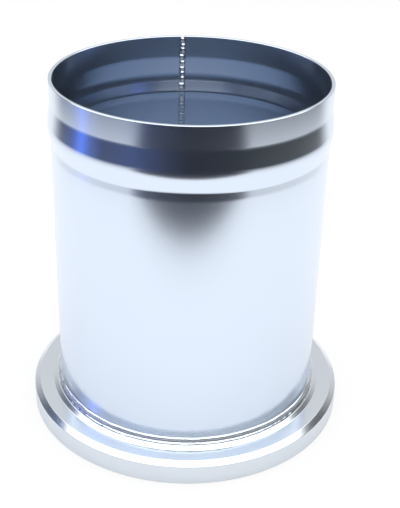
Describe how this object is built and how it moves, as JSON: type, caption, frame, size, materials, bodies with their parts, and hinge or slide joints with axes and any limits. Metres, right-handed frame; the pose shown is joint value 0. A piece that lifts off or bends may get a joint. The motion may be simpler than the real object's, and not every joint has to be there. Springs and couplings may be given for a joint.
{
  "type": "flanged hose coupling",
  "caption": "Round steel duct stub: a sheet tube with a rolled bead near its open end takes a clamped hose, and a welded, turned flange ring at its foot takes a clamp ring.",
  "frame": {"origin": "centre of the flange ring's flat underside", "axes": "+Z along the tube towards its open rim, +Y towards the back, near the tube's lengthwise seam"},
  "size_m": [0.2424, 0.2424, 0.264],
  "materials": {
    "plated_sheet": "smooth blue zinc plating on rolled sheet",
    "plated_turned": "blue zinc plating over fine turning marks",
    "plated_weld": "zinc plated weld bead, rippled"
  },
  "bodies": {
    "root": {"hose_tube": "plated_sheet", "seam_weld": "plated_weld", "flange_ring": "plated_turned", "flange_weld": "plated_weld"}
  },
  "joints": []
}
